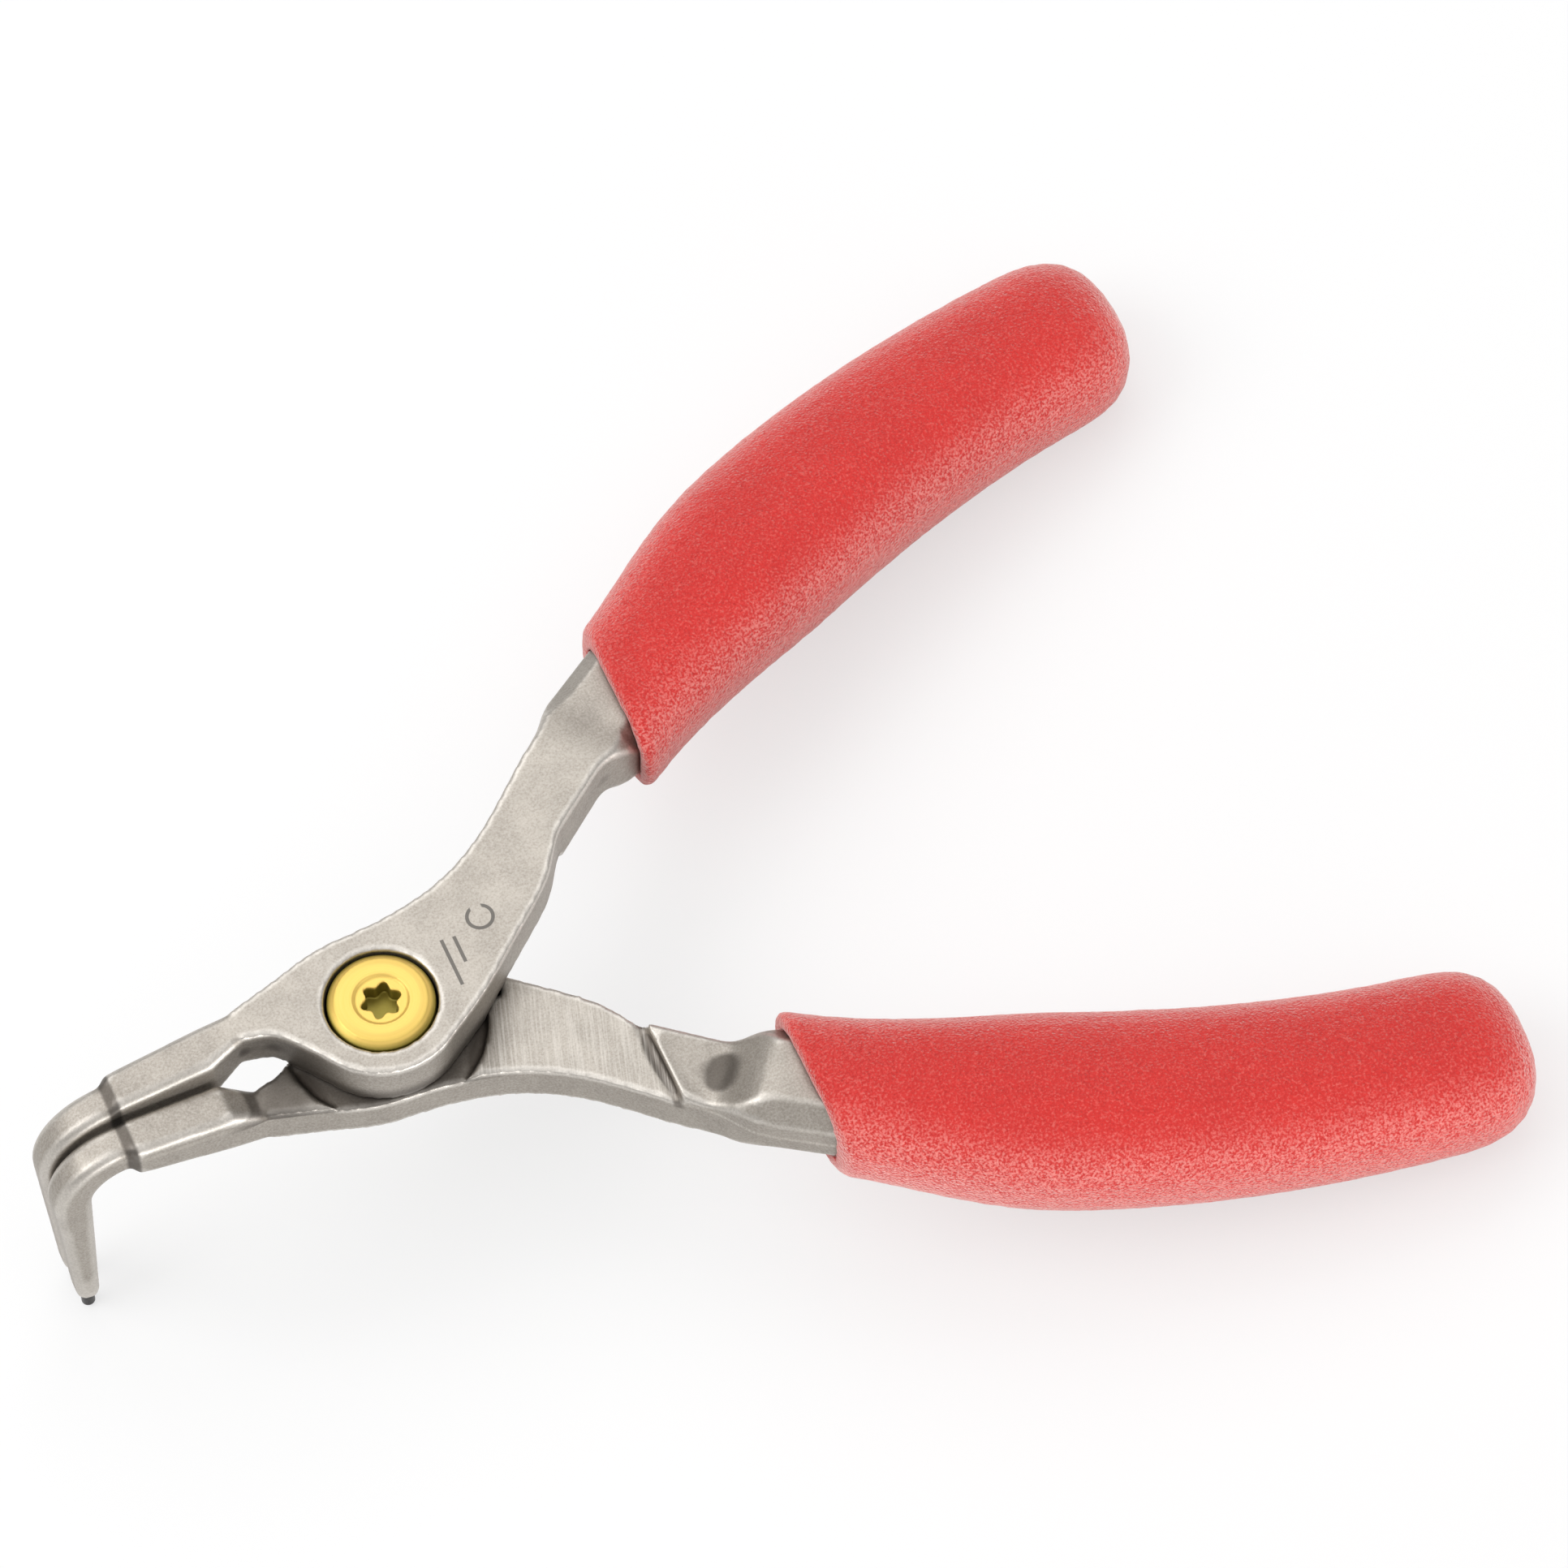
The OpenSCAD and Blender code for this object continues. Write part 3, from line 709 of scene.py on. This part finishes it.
def wound_spring(material):
    """The return spring: one round wire, coiled, with a straight leg bent out at each end."""
    sizes = {
        "Coil radius": COIL_R,
        "Turns": COIL_TURNS + (UPPER_LEG[0] - LOWER_LEG[0]) / (2 * math.pi),
        "Rise": COIL_HIGH - COIL_LOW,
        "Wire radius": WIRE_R,
        "Weld": WELD,
        "Bend radius": BEND_R,
    }
    recipe = Recipe("spring", sizes)
    strands = recipe.node("GeometryNodeJoinGeometry", None, {0: spring_strands(recipe)})[0]
    line = recipe.node("GeometryNodeCurveToMesh", None, {"Curve": strands})["Mesh"]
    weld = {"Geometry": line, "Distance": recipe.size("Weld")}
    line = recipe.node("GeometryNodeMergeByDistance", None, weld)["Geometry"]
    path = recipe.node("GeometryNodeMeshToCurve", None, {"Mesh": line})["Curve"]
    bend = {"Curve": path, "Radius": recipe.size("Bend radius"), "Limit Radius": True, "Count": BEND_POINTS}
    path = recipe.node("GeometryNodeFilletCurve", {"mode": "POLY"}, bend)[0]
    profile = {"Resolution": WIRE_SIDES, "Radius": recipe.size("Wire radius")}
    circle = recipe.node("GeometryNodeCurvePrimitiveCircle", None, profile)["Curve"]
    wire = {"Curve": path, "Profile Curve": circle, "Fill Caps": True}
    mesh = recipe.made(recipe.node("GeometryNodeCurveToMesh", None, wire)["Mesh"], material)
    mesh.transform(TOOL)
    return mesh


def make_pieces():
    """Every piece in its finish, on the node that it stands for."""
    steel = {
        "upper": forged_steel("forged_steel_marked", "upper"),
        "lower": forged_steel("forged_steel_milled", "lower"),
    }
    grip = dipped_grip("red_dip")
    zinc = yellow_zinc("yellow_zinc")
    for side in ("upper", "lower"):
        lever = side + "_lever"
        forging = with_rub_and_shade(rounded_off(lever, FORGING_CELL, FORGING_PASSES, STEP_HEIGHT[side]), steel[side])
        rigid_piece(side + "_forging", forging, lever, steel[side])
        sleeve = foamed(rounded_off(side + "_grip", GRIP_CELL, GRIP_PASSES), grip)
        rigid_piece(side + "_sleeve", sleeve, side + "_grip", grip)
        tip = frame["nodes"][side + "_tip"]
        tip.data.materials.clear()
        tip.data.materials.append(drawn_wire(side + "_tip_wire", WIRE, TIP_ROUGHNESS))
    screw = rounded_off("pivot_screw", SCREW_CELL, SCREW_PASSES, keep=SCREW_FACES_KEPT)
    rigid_piece("plated_screw", screw, "pivot_screw", zinc)
    wire = drawn_wire("spring_wire", SPRING, SPRING_ROUGHNESS)
    spring = piece("wound_spring", wound_spring(wire), "return_spring", wire)
    HINGE["parent"]
    HINGE["child"]
    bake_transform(spring)


def camera_axes():
    """Right, up and back of the photograph's view, in the row frame."""
    a, e = VIEW_AZIMUTH, VIEW_ELEVATION
    back = Vector((math.sin(a) * math.cos(e), -math.cos(a) * math.cos(e), math.sin(e)))
    right = Vector((math.cos(a), math.sin(a), 0.0))
    turn = Matrix.Rotation(TILT, 3, "Y")
    return turn @ right, turn @ back.cross(right), turn @ back


def make_camera():
    """A long lens that holds the whole tool, filled to the photograph's margins."""
    right, up, back = camera_axes()
    points = [v.co.copy() for node in frame["nodes"].values() for v in node.data.vertices]
    half = SENSOR / (2 * LENS)
    target = sum(points, Vector()) / len(points)
    distance = 1.0
    for _ in range(FRAMING_ROUNDS):
        flat = []
        for p in points:
            d = p - target
            depth = distance - d.dot(back)
            flat.append((d.dot(right) / depth / half, d.dot(up) / depth / half))
        low = [min(f[i] for f in flat) for i in (0, 1)]
        high = [max(f[i] for f in flat) for i in (0, 1)]
        middle = [(a + b) / 2 for a, b in zip(low, high)]
        target += (right * middle[0] + up * middle[1]) * distance * half
        distance *= max(h - l for h, l in zip(high, low)) / 2 / FILL
    data = bpy.data.cameras.new("camera")
    data.lens = LENS
    data.sensor_width = SENSOR
    data.clip_start = NEAREST
    camera = linked("camera", data)
    turn = Matrix((right, up, back)).transposed().to_4x4()
    camera.matrix_world = Matrix.Translation(target + back * distance) @ turn
    bpy.context.scene.camera = camera


def make_floor():
    """Pale paper that shows white to the camera and keeps the tool's shadow."""
    h = FLOOR_HALF
    mesh = bpy.data.meshes.new("floor")
    mesh.from_pydata([(-h, -h, 0), (h, -h, 0), (h, h, 0), (-h, h, 0)], [], [(0, 1, 2, 3)])
    finish = Finish("paper")
    path = finish.node("ShaderNodeLightPath")
    seen = path["Is Camera Ray"] + path["Is Glossy Ray"] + path["Is Transmission Ray"]
    lit = finish.node("ShaderNodeEmission", None, {"Color": (*WHITE, 1.0), "Strength": 1.0})["Emission"]
    paper = finish.node("ShaderNodeBsdfDiffuse", None, {"Color": (*PAPER, 1.0)})["BSDF"]
    share = seen.math("MINIMUM", 1.0) * FLOOR_WHITE
    mixed = finish.node("ShaderNodeMixShader", None, {0: share, 1: paper, 2: lit})["Shader"]
    mesh.materials.append(finish.surface(mixed))
    linked("floor", mesh)


def make_room():
    """White sweep at the horizon, a dim room above it and a bright ceiling."""
    world = bpy.data.worlds.new("studio")
    sky = Finish("studio", world)
    height = sky.axes(sky.node("ShaderNodeTexCoord")["Generated"])[2]
    tone = sky.layered(SWEEP, (height.above(SWEEP_TOP), ROOM), (height.above(CEILING_FROM), CEILING))
    light = sky.node("ShaderNodeBackground", None, {"Color": tone, "Strength": 1.0})["Background"]
    sky.node("ShaderNodeOutputWorld", None, {"Surface": light})
    bpy.context.scene.world = world


def make_lamps():
    """A soft key from behind the noses, a weaker top light and a low strip in front."""
    for name, place, size, power in LAMPS:
        data = bpy.data.lights.new(name, "AREA")
        data.shape = "RECTANGLE"
        data.size, data.size_y = size
        data.energy = power
        light = linked(name, data)
        light.location = place
        light.rotation_euler = (Vector(place) - LAMP_AIM).to_track_quat("Z", "Y").to_euler()


make_camera()
make_pieces()
make_floor()
make_room()
make_lamps()
bpy.context.scene.view_settings.view_transform = "Standard"
